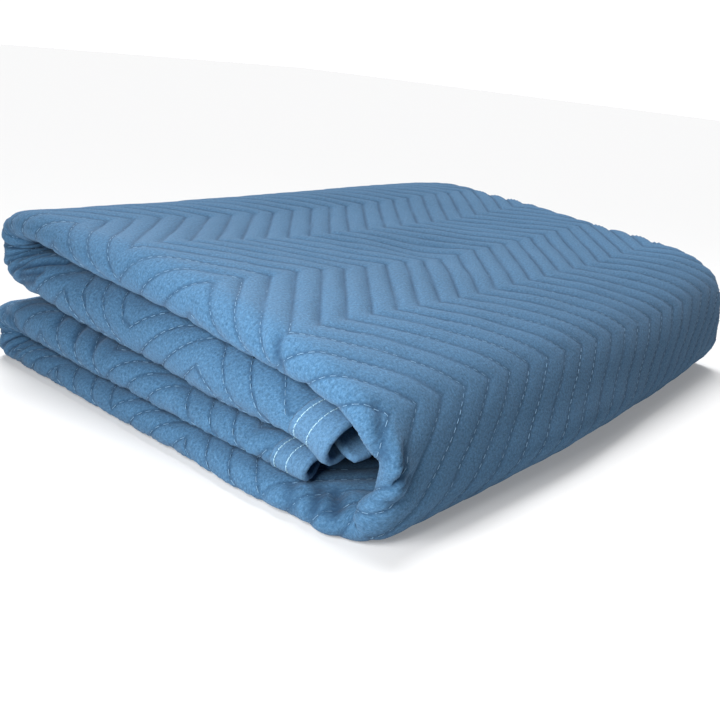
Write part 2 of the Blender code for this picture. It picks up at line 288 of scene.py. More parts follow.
# Where one ply gives by itself, round a place on the flat cloth.
# Columns: s, c, reach along s and c, push along x, y and z
FLAPS = (
    # the upper hem's lower lip reaches on and droops over the lower hem
    (-688, 338, 60, 36, 9, 0, 0),
    (-688, 347, 14, 22, 0, 0, -9.5),
    # the tucked corner hangs out between the two hems as a soft tongue
    (-688, -905, 70, 70, 11, -4, 0),
    (-688, -905, 50, 26, 0, -15, -6.5),
    (-688, -860, 45, 24, 0, 0, 3),
    (-688, -905, 19, 34, 8, -2, -11),
    (-688, -905, 9, 9, -5, 4, 2),
    # the lower hem draws back behind its front fold
    (1338, 268, 90, 48, -34, 0, 0),
    (1338, 432, 90, 46, -34, 0, 0),
    (1338, -880, 90, 70, -34, 0, 0),
    # the wrap's edge: pinched in above, and a full lobe below
    (306, 358, 22, 17, 11, 4, 0),
    (346, 364, 22, 24, -10, -3, 0),
    (398, 350, 18, 18, 0, -8, -1),
    # the upper left bend's crease stands open
    (-356, 404, 66, 17, 2, 16, -6),
)


@dataclass
class StripPath:
    """Middle line of the three-ply strip, tabled along s and y."""

    ply: float = FlatBlanket.ply
    zero_station: int = 17
    low_s: float = -728.0
    high_s: float = 1378.0
    low_y: float = -96.0
    high_y: float = 624.0
    step_s: float = 2.0
    step_y: float = 6.0
    front_blend: Span = (-40.0, 190.0)
    back_blend: Span = (350.0, 575.0)
    table: Array = field(init=False)

    def __post_init__(self) -> None:
        """Fills the table of middle lines."""
        across = np.arange(self.low_y, self.high_y + 0.1, self.step_y)
        self.table = np.stack([self.line_at(y) for y in across])

    def line_at(self, y: float) -> Array:
        """Rows of x, z, normal x, normal z and half pitch along s at one y.

        Args:
            y: place across the folded strip.

        Returns:
            One row for each tabled s.
        """
        x, z_front, t_front, z, t, z_back, t_back = np.asarray(STATIONS).T
        front = 1.0 - ease(y, *self.front_blend)
        back = ease(y, *self.back_blend)
        z = z + front * (z_front - z) + back * (z_back - z)
        t = t + front * (t_front - t) + back * (t_back - t)
        knots = np.concatenate([[0.0], np.cumsum(np.hypot(np.diff(x), np.diff(z)))])
        at = np.linspace(0.0, knots[-1], 2400)
        px = curve_through(knots, x, at)
        pz = curve_through(knots, z, at)
        pitch = (curve_through(knots, t, at) - self.ply) / 2.0
        tx = np.gradient(px)
        tz = np.gradient(pz)
        length = np.hypot(tx, tz)
        nx = -tz / length
        nz = tx / length
        outer_x = px + nx * pitch
        outer_z = pz + nz * pitch
        run = np.concatenate([[0.0], np.cumsum(np.hypot(np.diff(outer_x), np.diff(outer_z)))])
        run -= np.interp(knots[self.zero_station], at, run)
        along = np.arange(self.low_s, self.high_s + 0.1, self.step_s)
        return np.stack([np.interp(along, run, column) for column in (px, pz, nx, nz, pitch)], 1)

    def at(self, s: Array, y: Array) -> Array:
        """Reads x, z, normal x, normal z and half pitch, on the last axis, at s and y."""
        along = (s - self.low_s) / self.step_s
        return read_table(self.table, (y - self.low_y) / self.step_y, along)


# Soft hollows and swellings of the folded cloth.
# Columns: s, c, reach along s, reach along c, height
DENTS = (
    (60, 35, 34, 60, -4),
    (92, 45, 45, 30, -2.5),
    (-20, 120, 60, 50, 1.6),
    (150, -40, 50, 60, 1.2),
    (30, -120, 70, 60, -1.4),
    (-120, -60, 50, 90, -1),
    (120, 240, 45, 40, 1.5),
)


@dataclass(frozen=True)
class Furrow:
    """One sharp crease of the cloth between two flat places, with soft lips beside it."""

    s: float
    c: float
    end_s: float
    end_c: float
    width: float
    depth: float

    def height_at(self, s: Array, c: Array) -> Array:
        """Height of the furrow over the cloth.

        Args:
            s: flat places along the blanket.
            c: flat places across it.

        Returns:
            Height along the cloth's outward normal, in millimetres.
        """
        run = math.hypot(self.end_s - self.s, self.end_c - self.c)
        along_s = (self.end_s - self.s) / run
        along_c = (self.end_c - self.c) / run
        along = (s - self.s) * along_s + (c - self.c) * along_c
        aside = ((c - self.c) * along_s - (s - self.s) * along_c) / self.width
        past = np.maximum(np.maximum(-along, along - run), 0.0) / self.width
        crease = 1.3 * np.exp(-aside ** 2) - 0.3 * np.exp(-(aside / 2.6) ** 2)
        return -self.depth * crease * np.exp(-(0.7 * past) ** 2)


# Columns: s, c, end s, end c, width, depth
FURROWS = tuple(Furrow(*row) for row in (
    # pinched cloth round the inside of the upper left bend
    (-226, 364, -236, 398, 3.4, 3.2),
    (-244, 370, -250, 396, 3, 2.4),
    (-258, 360, -266, 392, 3.4, 2.6),
    (-280, 366, -300, 394, 3.6, 3.4),
    (-298, 376, -336, 394, 3.4, 4.4),
    (-302, 370, -332, 380, 3.2, 3.6),
    (-304, 361, -328, 372, 3.2, 3.4),
    (-190, 362, -196, 392, 6, 1.8),
    # the same round the lower left bend
    (922, 362, 956, 372, 3.6, 2.6),
    (850, 366, 866, 380, 3.6, 3),
    (940, 374, 962, 384, 3.6, 2.6),
    (832, 370, 838, 390, 3.6, 2.8),
    (812, 364, 818, 386, 4, 2.2),
    (878, 360, 884, 372, 4, 2.2),
    # short notches on the top of the third layer
    (1038, 340, 1050, 358, 4, 2.6),
    (1066, 338, 1078, 358, 4, 2.6),
    (1012, 340, 1018, 356, 4, 2.1),
    # the front corner: a groove inside the wrap's edge, its pinch and the small fold there
    (264, 346, 292, 358, 4, 2.4),
    (293, 341, 309, 351, 2.8, 3.6),
    (309, 352, 312, 337, 2.8, 3),
    (326, 352, 330, 338, 3.4, 1.8),
    # scrunched cloth on the lowest layer's front corner
    (405, 382, 396, 368, 4.5, 3.8),
    (419, 386, 409, 367, 4.5, 3.4),
    (411, 390, 400, 374, 4, 3),
    (436, 382, 427, 368, 5, 2),
    # the pucker over the top layer's front edge
    (178, 358, 187, 372, 4, 2.9),
))


@dataclass(frozen=True)
class SideFold:
    """Fold along one long side of the strip.

    side is 1 at the front and -1 at the back, and rise is the fold's height to the strip's.
    The depth follows the height by base and gain, between least and most.
    """

    side: float
    read_y: float
    rise: float
    base: float
    gain: float
    least: float
    most: float


@dataclass
class FoldedCloth:
    """Places flat points of the blanket in the fold."""

    flat: FlatBlanket = field(default_factory=FlatBlanket)
    path: StripPath = field(default_factory=StripPath)
    middle: Span = (220.226, 262.809)
    front: SideFold = SideFold(1.0, -40.0, 1.0, 6.5, 0.75, 12.0, 22.0)
    back: SideFold = SideFold(-1.0, 573.0, 0.5, 0.0, 1.0, 4.0, 10.0)
    back_tip: float = 588.0
    y_reference: float = 300.0
    skew: float = 8.0
    skewed_length: float = 190.0
    swell: float = 0.55
    swell_length: float = 140.0
    swell_start: Span = (20.0, 90.0)
    flattest: float = 0.4
    flatness_step: float = 0.025
    turns: Array = field(init=False)

    def __post_init__(self) -> None:
        """Tables the angle of an elliptic fold against the length run round it."""
        share = np.linspace(0.0, 1.0, 65)
        angle = np.linspace(0.0, math.pi, 257)
        rows = []
        for flatness in self.flattest + self.flatness_step * np.arange(41):
            speed = np.sqrt(np.cos(angle) ** 2 + (flatness * np.sin(angle)) ** 2)
            run = np.concatenate([[0.0], np.cumsum((speed[1:] + speed[:-1]) / 2.0)])
            rows.append(np.interp(share, run / run[-1], angle))
        self.turns = np.asarray(rows)

    @staticmethod
    def half_ellipse(a: Array, b: Array) -> Array:
        """Length of half an ellipse with semi-axes a and b."""
        h = ((a - b) / (a + b)) ** 2
        return math.pi * (a + b) * (1.0 + 3.0 * h / (10.0 + np.sqrt(4.0 - 3.0 * h))) / 2.0

    def turn(self, ratio: Array, share: Array) -> Array:
        """Angle reached after a share of the way round a fold, by its height to its depth."""
        flatness = (ratio - self.flattest) / self.flatness_step
        return read_table(self.turns, flatness, share * (self.turns.shape[1] - 1))

    def front_at(self, s: Array) -> Array:
        """Foremost point of the front folds at s."""
        place, reach = np.asarray(FRONT_TIPS).T
        return np.interp(s, place, reach) + 1.5 * np.sin(s / 97.0 + 0.6) + np.sin(s / 41.0)

    def back_at(self, s: Array) -> Array:
        """Rearmost point of the back folds at s."""
        return self.back_tip + 4.0 * np.sin(s / 150.0 + 2.0) + 2.0 * np.sin(s / 57.0)

    def across(self, s: Array, c: Array) -> tuple[Array, Array]:
        """Place of flat points across the folded strip.

        Args:
            s: flat places along the blanket.
            c: flat places across it.

        Returns:
            y, and the ply: 1 outer, 0 tucked, -1 inner, and between them in the folds.
        """
        y = self.y_reference - c
        ply = np.ones_like(y)
        for fold, tip in ((self.front, self.front_at(s)), (self.back, self.back_at(s))):
            height = fold.rise * self.path.at(s, np.full_like(s, fold.read_y))[..., 4]
            depth = np.clip(fold.base + fold.gain * height, fold.least, fold.most)
            run = self.half_ellipse(depth, height)
            start = tip + fold.side * depth
            past = fold.side * (c - (self.y_reference - start))
            turn = self.turn(height / depth, np.clip(past / run, 0.0, 1.0))
            y = np.where(past > 0.0, start - fold.side * depth * np.sin(turn), y)
            y = np.where(past > run, start + fold.side * (past - run), y)
            ply = np.where(past > 0.0, 1.0 - fold.rise + fold.rise * np.cos(turn), ply)
        return y, ply

    def place(self, s: Array, c: Array) -> Array:
        """Points on the middle of the cloth.

        Args:
            s: flat places along the blanket.
            c: flat places across it.

        Returns:
            Points in millimetres, in the frame of the solids.
        """
        s, c = np.broadcast_arrays(np.asarray(s, float), np.asarray(c, float))
        y, ply = self.across(s, c)
        start = self.flat.upper_hem
        lean = 1.0 - ease(s, start + self.flat.binding_width, start + self.skewed_length)
        x, z, nx, nz, pitch = np.moveaxis(self.path.at(s + self.skew * ply * lean, y), -1, 0)
        offset = ply * pitch
        points = self.give(np.stack([x + nx * offset, y, z + nz * offset], -1))
        for row in FLAPS:
            points += near(s, c, *row[:4])[..., None] * row[4:]
        return points - (*self.middle, 0.0)

    @staticmethod
    def give(points: Array) -> Array:
        """Moves points by the soft pushes.

        Args:
            points: places in the folded blanket.

        Returns:
            The places after the pushes.
        """
        moved = points.copy()
        for row in PUSHES:
            centre, reach, push = np.asarray(row).reshape(3, 3)
            moved += push * np.exp(-(((points - centre) / reach) ** 2).sum(-1, keepdims=True))
        return moved

    def surface(self, s: Array, c: Array) -> tuple[Array, Array]:
        """Points and outward normals, with the cloth's own unevenness.

        Args:
            s: flat places along the blanket.
            c: flat places across it.

        Returns:
            Points in millimetres and their normals.
        """
        s, c = np.broadcast_arrays(np.asarray(s, float), np.asarray(c, float))
        step = 1.5
        along = self.place(s + step, c) - self.place(s - step, c)
        over = self.place(s, c + step) - self.place(s, c - step)
        normals = unit(np.cross(over, along))
        points = self.place(s, c)
        return points + normals * self.unevenness(s, c)[..., None], normals

    def unevenness(self, s: Array, c: Array) -> Array:
        """Height of the broad hollows and swellings.

        Args:
            s: flat places along the blanket.
            c: flat places across it.

        Returns:
            Height along the outward normal, in millimetres.
        """
        total = self.swell * waves(s, c, self.swell_length, 1.3)
        for *place, height in DENTS:
            total = total + height * near(s, c, *place)
        for furrow in FURROWS:
            total = total + furrow.height_at(s, c)
        return total * ease(self.flat.to_edge(s, c), *self.swell_start)


@dataclass(frozen=True)
class ZigzagQuilting:
    """Stitch lines that run side by side in a zigzag, with filled channels between them.

    A pair is where one kind of cloth begins to give way to the next and where it has, and a
    loss is the share of the relief that is lost there.
    """

    row_spacing: float = 92.0
    second_row: float = -6.0
    line_spacing: float = 29.57
    swing: float = 48.8
    origin: float = 300.0
    flat_drop: float = 1.5
    puffy_drop: float = 3.2
    stripe_edge: Span = (-0.12, 0.12)
    top_start: Span = (-330.0, -230.0)
    top_end: Span = (185.0, 260.0)
    top_front: Span = (300.0, 350.0)
    top_least: float = 0.16
    top_gain: float = 0.8
    side_least: float = 0.12
    side_gain: float = 0.13
    wrap_start: Span = (190.0, 300.0)
    wrap_side: Span = (285.0, 330.0)
    front_folds: Span = (320.0, 350.0)
    corner_start: Span = (20.0, 150.0)
    corner_end: Span = (300.0, 420.0)
    front_loss: float = 0.6
    wrap_loss: float = 0.6
    slack_flat_loss: float = 0.3
    slack_puffy_loss: float = 0.45

    @property
    def slope(self) -> float:
        """How steeply the stitch lines cross the blanket."""
        return 2.0 * self.swing / self.row_spacing

    def zigzag(self, s: Array) -> Array:
        """Swing of the stitch lines at s, from -1 at even rows to 1 at odd rows."""
        row = (s - self.second_row) / self.row_spacing
        return 1.0 - 2.0 * np.abs(np.mod(row, 2.0) - 1.0)

    @staticmethod
    def wander(s: Array, number: Array) -> Array:
        """How far a hand-guided stitch line strays across the blanket."""
        slow = 0.8 * np.sin(s / 37.0 + number * 1.7) + 0.6 * np.sin(s / 13.0 + number * 2.9)
        return slow + 0.35 * np.sin(s / 5.3 + number * 4.3)

    def line_at(self, s: Array, number: Array) -> Array:
        """Place across the blanket of the stitch line with a number, at s."""
        return (self.origin - number * self.line_spacing - self.swing * self.zigzag(s)
                + self.wander(s, number))

    def number_at(self, s: Array, c: Array) -> Array:
        """Line number, with its fraction, at a flat point."""
        number = (self.origin - c - self.swing * self.zigzag(s)) / self.line_spacing
        return number + self.wander(s, np.round(number)) / self.line_spacing

    def from_line(self, s: Array, c: Array) -> Array:
        """Share of the way from the nearest stitch line, 0, to a channel's middle, 1."""
        number = self.number_at(s, c)
        return np.clip(2.0 * np.abs(number - np.round(number)), 0.0, 1.0)

    def drop(self, s: Array, c: Array) -> Array:
        """How far the stitches draw the cloth in.

        Args:
            s: flat places along the blanket.
            c: flat places across it.

        Returns:
            Depth below the top of the channels, in millimetres.
        """
        share = self.from_line(s, c)
        puffy = self.puffiness(s, c)
        uneven = 1.0 + 0.24 * waves(s, c, 75.0, 4.0) + 0.12 * waves(s, c, 21.0, 2.2)
        flat = self.flat_drop * self.wrap_relief(s, c) * (1.0 - share) ** 2.4
        flat = flat * (1.0 - self.slack_flat_loss * self.slackness(s, c))
        full = self.puffy_drop * (1.0 - np.sin(0.5 * math.pi * share ** 0.8))
        return uneven * (flat * (1.0 - puffy) + full * puffy)

    def wrap_relief(self, s: Array, c: Array) -> Array:
        """Share of the quilting's relief that is left: less on the wrap at the right end."""
        return 1.0 - self.wrap_loss * ease(s, *self.wrap_start) * (1.0 - ease(c, *self.wrap_side))

    def slackness(self, s: Array, c: Array) -> Array:
        """How loose the cloth lies, from 0 to 1: it is loosest along the front folds."""
        near_corner = ease(s, *self.corner_start) * (1.0 - ease(s, *self.corner_end))
        return ease(c, *self.front_folds) * (1.0 - near_corner)

    def puffiness(self, s: Array, c: Array) -> Array:
        """How full the channels are: 0 on the flat stripes, 1 on the full ones.

        Args:
            s: flat places along the blanket.
            c: flat places across it.

        Returns:
            Share from 0 to 1.
        """
        wave = -np.sin(math.pi * (s - self.second_row) / self.row_spacing)
        stripe = ease(wave, *self.stripe_edge)
        on_top = ease(s, *self.top_start) * (1.0 - ease(s, *self.top_end))
        on_top = on_top * (1.0 - self.front_loss * ease(c, *self.top_front))
        side = self.side_least + self.side_gain * (1.0 - stripe)
        top = self.top_least + self.top_gain * stripe
        puffy = side * self.wrap_relief(s, c) * (1.0 - on_top) + on_top * top
        return puffy * (1.0 - self.slack_puffy_loss * self.slackness(s, c))


def show(name: str, data: bpy.types.ID) -> bpy.types.Object:
    """Adds an object to the scene.

    Args:
        name: the object's name.
        data: the mesh, light or camera that it holds.

    Returns:
        The new object.
    """
    item = bpy.data.objects.new(name, data)
    bpy.context.scene.collection.objects.link(item)
    return item


class MeshMaker:
    """Turns bmeshes and grids of points into mesh objects."""

    @staticmethod
    def mesh(work: bmesh.types.BMesh, name: str) -> bpy.types.Mesh:
        """Ends a bmesh as a new mesh.

        Args:
            work: the bmesh.
            name: the mesh's name.

        Returns:
            The new mesh.
        """
        mesh = bpy.data.meshes.new(name)
        work.to_mesh(mesh)
        work.free()
        return mesh

    @staticmethod
    def points(mesh: bpy.types.Mesh) -> Array:
        """Reads the places of a mesh's points.

        Args:
            mesh: the mesh.

        Returns:
            A row of x, y and z for each point.
        """
        flat = np.empty(len(mesh.vertices) * 3)
        mesh.vertices.foreach_get("co", flat)
        return flat.reshape(-1, 3)

    @staticmethod
    def grid(name: str, points: Array, flat: Array,
             outward: Array | None = None) -> bpy.types.Object:
        """Makes a smooth grid object with a flat UV map.

        Args:
            name: the object's name.
            points: rows by columns of points, in millimetres.
            flat: rows by columns of flat places, in millimetres.
            outward: rows by columns of directions that the faces turn to, or None for a grid
                that is closed both ways and faces out.

        Returns:
            The new object.
        """
        rows, columns = points.shape[:2]
        work = bmesh.new()
        bmesh.ops.create_grid(work, x_segments=columns - 1, y_segments=rows - 1, size=1.0)
        mesh = MeshMaker.mesh(work, name)
        start = MeshMaker.points(mesh)
        column = np.rint((start[:, 0] + 1.0) / 2.0 * (columns - 1)).astype(int)
        row = np.rint((start[:, 1] + 1.0) / 2.0 * (rows - 1)).astype(int)
        mesh.vertices.foreach_set("co", (points[row, column] * MM).ravel())
        corner = np.empty(len(mesh.loops), dtype=np.int64)
        mesh.loops.foreach_get("vertex_index", corner)
        layer = mesh.uv_layers.new(name=FLAT_MAP)
        layer.data.foreach_set("uv", (flat[row, column][corner] * MM).ravel())
        mesh.update()
        work = bmesh.new()
        work.from_mesh(mesh)
        if outward is None:
            bmesh.ops.remove_doubles(work, verts=work.verts[:], dist=1e-6)
            bmesh.ops.recalc_face_normals(work, faces=work.faces[:])
        else:
            middle = mesh.polygons[len(mesh.polygons) // 2]
            facing = outward[row, column][list(middle.vertices)].sum(0)
            if np.dot(facing, middle.normal) < 0.0:
                bmesh.ops.reverse_faces(work, faces=work.faces[:])
        work.to_mesh(mesh)
        work.free()
        for polygon in mesh.polygons:
            polygon.use_smooth = True
        return show(name, mesh)

    @staticmethod
    def mark(item: bpy.types.Object, name: str, values: Array) -> None:
        """Stores a number for each point of an open grid, under a name."""
        attribute = item.data.attributes.new(name, "FLOAT", "POINT")
        attribute.data.foreach_set("value", values.ravel().astype(np.float32))


def opaque(colour: Triple, share: float = 1.0) -> tuple[float, float, float, float]:
    """A share of a colour's red, green and blue, fully opaque."""
    return (*(share * value for value in colour), 1.0)


@dataclass(frozen=True)
class Grain:
    """Noise of a finish: its spread of heights gives a span of tones and a relief."""

    scale: float
    detail: float
    roughness: float
    spread: Span = (0.0, 1.0)
    tones: Span | None = None
    relief: float = 0.0


@dataclass
class NodeBench:
    """Adds nodes to the tree of a finish or of the backdrop."""

    tree: bpy.types.NodeTree

    def wire(self, node: bpy.types.Node, inputs: dict[str | int, object]) -> bpy.types.Node:
        """Sets or links a node's inputs.

        Args:
            node: the node.
            inputs: for each input a value, or the output that feeds it.

        Returns:
            The same node.
        """
        for name, value in inputs.items():
            if isinstance(value, bpy.types.NodeSocket):
                self.tree.links.new(value, node.inputs[name])
            else:
                node.inputs[name].default_value = value
        return node

    def add(self, kind: str, inputs: dict[str | int, object], **options: str) -> bpy.types.Node:
        """Adds a node.

        Args:
            kind: the node's type.
            inputs: for each input a value, or the output that feeds it.
            options: the node's own settings.

        Returns:
            The new node.
        """
        node = self.tree.nodes.new(kind)
        for name, value in options.items():
            setattr(node, name, value)
        return self.wire(node, inputs)

    def dress(self, inputs: dict[str | int, object]) -> bpy.types.Node:
        """Sets or links inputs of the material's shader and returns it."""
        return self.wire(self.tree.nodes["Principled BSDF"], inputs)

    def noise(self, place: bpy.types.NodeSocket, grain: Grain) -> bpy.types.NodeSocket:
        """Adds a grain's noise and returns its height."""
        return self.add("ShaderNodeTexNoise", {
            "Vector": place, "Scale": grain.scale, "Detail": grain.detail,
            "Roughness": grain.roughness}).outputs["Fac"]

    def level(self, source: bpy.types.NodeSocket, spread: Span, tones: Span = (0.0, 1.0),
              curve: str = "LINEAR") -> bpy.types.NodeSocket:
        """Stretches the spread of a value onto a span of tones."""
        return self.add("ShaderNodeMapRange", {
            "Value": source, "From Min": spread[0], "From Max": spread[1],
            "To Min": tones[0], "To Max": tones[1]}, interpolation_type=curve).outputs["Result"]

    def blend(self, share: bpy.types.NodeSocket, first: object,
              second: object) -> bpy.types.NodeSocket:
        """Blends two colours, each an opaque colour or the output that gives it."""
        return self.add("ShaderNodeMix", {"Factor": share, "A": first, "B": second},
                        data_type="RGBA").outputs["Result"]

    def scaled(self, colour: bpy.types.NodeSocket,
               factor: bpy.types.NodeSocket) -> bpy.types.NodeSocket:
        """Darkens or lightens a colour by a factor."""
        return self.add("ShaderNodeVectorMath", {0: colour, "Scale": factor},
                        operation="SCALE").outputs["Vector"]

    def raised(self, ground: bpy.types.NodeSocket, height: bpy.types.NodeSocket,
               share: float) -> bpy.types.NodeSocket:
        """Adds a share of one height to another."""
        return self.add("ShaderNodeMath", {0: height, 1: share, 2: ground},
                        operation="MULTIPLY_ADD").outputs["Value"]


def new_material(name: str) -> tuple[bpy.types.Material, NodeBench]:
    """Adds a material.

    Args:
        name: the material's name.

    Returns:
        The material, and a bench on its nodes.
    """
    material = bpy.data.materials.new(name)
    material.use_nodes = True
    return material, NodeBench(material.node_tree)


@dataclass(frozen=True)
class FeltFinish:
    """Fuzzy non-woven felt, mottled, with painted shade along the stitching and in the creases."""

    name: str
    colour: Triple
    painted_shade_colour: Triple
    pale: Triple
    fibres: Grain = Grain(620.0, 4.0, 0.75, (0.34, 0.68))
    mottling: Grain = Grain(420.0, 3.0, 0.65, (0.34, 0.66), (0.77, 1.14), 0.5)
    stains: Grain = Grain(9.0, 2.0, 0.5, (0.35, 0.65), (0.96, 1.03))
    lumps: Grain = Grain(105.0, 3.0, 0.6, relief=2.2)
    fuzz: float = 0.12
    relief: float = 0.0006

    def build(self) -> bpy.types.Material:
        """Makes the felt's material.

        Returns:
            The new material.
        """
        material, bench = new_material(self.name)
        place = bench.add("ShaderNodeUVMap", {}, uv_map=FLAT_MAP).outputs["UV"]
        height = bench.noise(place, self.fibres)
        share = bench.level(height, self.fibres.spread)
        tone = bench.blend(share, opaque(self.colour), opaque(self.pale))
        for grain in (self.mottling, self.stains, self.lumps):
            noise = bench.noise(place, grain)
            if grain.tones:
                tone = bench.scaled(tone, bench.level(noise, grain.spread, grain.tones))
            if grain.relief:
                height = bench.raised(height, noise, grain.relief)
        # painted shade: the groove attribute darkens the felt towards its shade colour in stitch
        # grooves and creases
        painted_shade_share = bench.add("ShaderNodeAttribute", {}, attribute_name=PAINTED_SHADE).outputs["Fac"]
        bump = bench.add("ShaderNodeBump", {
            "Strength": 0.6, "Distance": self.relief, "Height": height})
        bench.dress({
            "Base Color": bench.blend(painted_shade_share, tone, opaque(self.painted_shade_colour)),
            "Normal": bump.outputs["Normal"],
            "Roughness": 0.94,
            "Specular IOR Level": 0.18,
            "Sheen Weight": self.fuzz,
            "Sheen Roughness": 0.55,
            "Sheen Tint": (0.62, 0.78, 1.0, 1.0),
        })
        return material


@dataclass(frozen=True)
class ThreadFinish:
    """Pale sewing thread."""

    name: str = "sewing_thread"
    colour: Triple = (0.16, 0.30, 0.45)
    fibres: Grain = Grain(260.0, 2.0, 0.5)
    dark: float = 0.72
    light: float = 1.15

    def build(self) -> bpy.types.Material:
        """Makes the thread's material.

        Returns:
            The new material.
        """
        material, bench = new_material(self.name)
        share = bench.noise(bench.add("ShaderNodeTexCoord", {}).outputs["Object"], self.fibres)
        tone = bench.blend(share, opaque(self.colour, self.dark), opaque(self.colour, self.light))
        bench.dress({"Base Color": tone, "Roughness": 0.6})
        return material


# each felt's second colour is the painted shade of its stitch grooves and creases
FELT = FeltFinish("quilted_felt", (0.032, 0.097, 0.19), (0.015, 0.047, 0.10), (0.082, 0.19, 0.32))
BINDING_FELT = FeltFinish("binding_felt", (0.05, 0.125, 0.235), (0.03, 0.08, 0.15),
                          (0.095, 0.20, 0.32), fibres=Grain(900.0, 4.0, 0.75, (0.34, 0.68)),
                          fuzz=0.1, relief=0.00035)
THREAD = ThreadFinish()
HEM_THREAD = ThreadFinish("hem_thread", (0.31, 0.50, 0.62))


def steps_between(runs: tuple[Triple, ...]) -> Array:
    """Places along a line, from runs of (from, to, step).

    Args:
        runs: the runs in order, each starting where the last one ends.

    Returns:
        The places, both ends included.
    """
    values = [runs[0][0]]
    for start, end, step in runs:
        count = max(1, round((end - start) / step))
        values.extend(start + (end - start) * (k + 1) / count for k in range(count))
    return np.asarray(values)


@dataclass
class QuiltedCloth:
    """One of the two felt cloths, drawn in along the stitch lines."""

    fold: FoldedCloth
    quilting: ZigzagQuilting
    face: Face
    name: str
    s_runs: tuple[Triple, ...]
    c_runs: tuple[Triple, ...]
    puff: float = 0.45
    hem_height: float = 2.3
    hem_slope: Span = (28.0, 44.0)
    straight_reach: float = 120.0
    # the groove and furrow fields set painted shade: darker felt along the stitch lines and in the
    # furrows
    groove_width: float = 1.5
    groove_shade: float = 0.75
    groove_start: Span = (28.0, 36.0)
    furrow_shade: float = 0.3
    most_shade: float = 0.9

    def height(self, s: Array, c: Array) -> Array:
        """Height of the cloth's face over the middle of the blanket.

        Args:
            s: flat places along the blanket.
            c: flat places across it.

        Returns:
            Height along the face's own outward side, in millimetres.
        """
        flat = self.fold.flat
        full = flat.ply / 2.0 + self.puff - self.quilting.drop(s, c)
        inside = ease(flat.to_edge(s, c), *self.hem_slope)
        return self.hem_height + (full - self.hem_height) * inside

    def build(self) -> bpy.types.Object:
        """Builds the cloth as a sheet on its folds, with painted shade marked in its stitch grooves
        and creases.

        Returns:
            The cloth's object.
        """
        flat = self.fold.flat
        s = steps_between(self.s_runs)[:, None]
        base = steps_between(self.c_runs)[None, :]
        from_hem = np.minimum(base - flat.tucked_hem, flat.inner_hem - base)
        inside = ease(from_hem, 0.0, self.straight_reach)
        c = base - self.quilting.swing * self.quilting.zigzag(s) * inside
        s = np.broadcast_to(s, c.shape)
        points, normals = self.fold.surface(s, c)
        side = self.face.value
        shape = points + normals * (side * self.height(s, c))[..., None]
        shape[..., 2] = np.maximum(shape[..., 2], LEAST_Z)
        item = MeshMaker.grid(self.name, shape, np.stack([c, s], -1), normals * side)
        # painted shade: darkening along each stitch line, faded out at the hem, and deeper in the
        # furrows, stored on the points for the felt
        channel = self.quilting.line_spacing / math.hypot(1.0, self.quilting.slope)
        from_line = self.quilting.from_line(s, c) * channel / 2.0
        groove = self.groove_shade * np.exp(-(from_line / self.groove_width) ** 2)
        groove = groove * ease(flat.to_edge(s, c), *self.groove_start)
        for furrow in FURROWS:
            groove = np.maximum(groove, -self.furrow_shade * furrow.height_at(s, c))
        MeshMaker.mark(item, PAINTED_SHADE, np.clip(groove, 0.0, self.most_shade))
        return item

    def dress(self, item: bpy.types.Object, material: bpy.types.Material) -> None:
        """Gives the cloth its finish and ties it to the solids.

        Args:
            item: the cloth's object.
            material: the felt.
        """
        item.data.materials.append(material)
        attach(item, "root")


